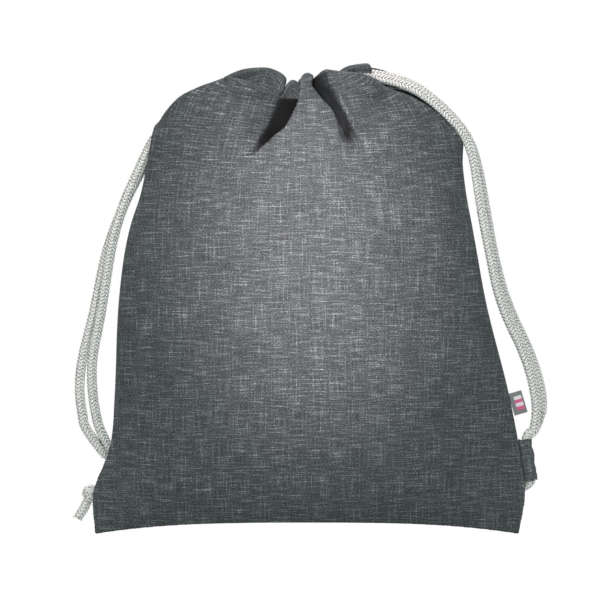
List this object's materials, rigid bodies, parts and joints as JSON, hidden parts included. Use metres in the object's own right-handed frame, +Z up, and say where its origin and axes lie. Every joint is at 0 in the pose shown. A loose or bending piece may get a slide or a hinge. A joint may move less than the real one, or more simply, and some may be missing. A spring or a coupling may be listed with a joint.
{
  "type": "drawstring backpack",
  "caption": "Stuffed cloth drawstring backpack with a gathered mouth, braided cotton cords as shoulder straps, corner tabs, knots and a side label.",
  "frame": {"origin": "on the ground under the middle of the bottom seam, in the plane of the side seams", "axes": "+X to the right seen from the front, +Y from the front panel to the back panel, +Z up to the gathered mouth"},
  "size_m": [0.4185, 0.105, 0.4105],
  "materials": {
    "body_cloth": "matte melange weave",
    "tab_cloth": "matte melange weave",
    "thread": "matte sewing thread",
    "cord": "matte braided cotton",
    "label": "woven ribbon",
    "motif": "woven thread"
  },
  "bodies": {
    "bag": {"front_panel": "body_cloth", "back_panel": "body_cloth", "left_side_seam": "thread", "right_side_seam": "thread", "bottom_seam": "thread", "left_tab": "tab_cloth", "right_tab": "tab_cloth", "left_tab_stitching": "thread", "right_tab_stitching": "thread", "left_cord_ends": "cord", "left_knot": "cord", "right_cord_ends": "cord", "right_knot": "cord"},
    "front_mouth": {"front_gather": "body_cloth", "front_tunnel": "body_cloth", "front_tunnel_stitching": "thread"},
    "back_mouth": {"back_gather": "body_cloth", "back_tunnel": "body_cloth", "back_tunnel_stitching": "thread"},
    "left_cord": {"left_cord_front_run": "cord", "left_cord_back_run": "cord", "left_cord_bight": "cord"},
    "right_cord": {"right_cord_front_run": "cord", "right_cord_back_run": "cord", "right_cord_bight": "cord"},
    "left_anchor": {"left_cord_elbow": "cord"},
    "right_anchor": {"right_cord_elbow": "cord"},
    "left_strap": {"left_strap_front_strand": "cord", "left_strap_back_strand": "cord"},
    "right_strap": {"right_strap_front_strand": "cord", "right_strap_back_strand": "cord"},
    "label": {"woven_label": "label", "label_motif": "motif"}
  },
  "joints": [
    {"name": "mouth_open", "type": "hinge", "parent": "bag", "child": "front_mouth", "pos_m": [0, -0.018, 0.35], "axis": [1, 0, 0], "range_deg": [0, 13]},
    {"name": "back_mouth_open", "type": "hinge", "parent": "bag", "child": "back_mouth", "pos_m": [0, 0.018, 0.35], "axis": [1, 0, 0], "range_deg": [-13, 0]},
    {"name": "right_draw", "type": "slide", "parent": "bag", "child": "right_cord", "axis": [1, 0, 0], "range_m": [0, 0.008]},
    {"name": "right_draw_tilt", "type": "hinge", "parent": "bag", "child": "right_anchor", "pos_m": [0.2026, 0.007, 0.0965], "axis": [0, 1, 0], "range_deg": [0, 1.55]},
    {"name": "right_strap_swing", "type": "hinge", "parent": "right_anchor", "child": "right_strap", "pos_m": [0.203, 0.007, 0.097], "axis": [-0.3643, -0.0222, 0.931], "range_deg": [-30, 90]},
    {"name": "left_draw", "type": "slide", "parent": "bag", "child": "left_cord", "axis": [-1, 0, 0], "range_m": [0, 0.008]},
    {"name": "left_draw_tilt", "type": "hinge", "parent": "bag", "child": "left_anchor", "pos_m": [-0.188, 0.0142, 0.083], "axis": [0, -1, 0], "range_deg": [0, 1.43]},
    {"name": "left_strap_swing", "type": "hinge", "parent": "left_anchor", "child": "left_strap", "pos_m": [-0.188, 0.0142, 0.083], "axis": [-0.2989, 0.0422, -0.9534], "range_deg": [0, 55]},
    {"name": "label_flap", "type": "hinge", "parent": "bag", "child": "label", "pos_m": [0.1796, 0, 0.113], "axis": [-0.284, 0, 0.9588], "range_deg": [-80, 80]}
  ],
  "couplings": [
    {"joint": "back_mouth_open", "follows": "mouth_open", "ratio": -1},
    {"joint": "right_draw_tilt", "follows": "right_draw", "rad_per_m": 3.38},
    {"joint": "left_draw_tilt", "follows": "left_draw", "rad_per_m": 3.115}
  ]
}
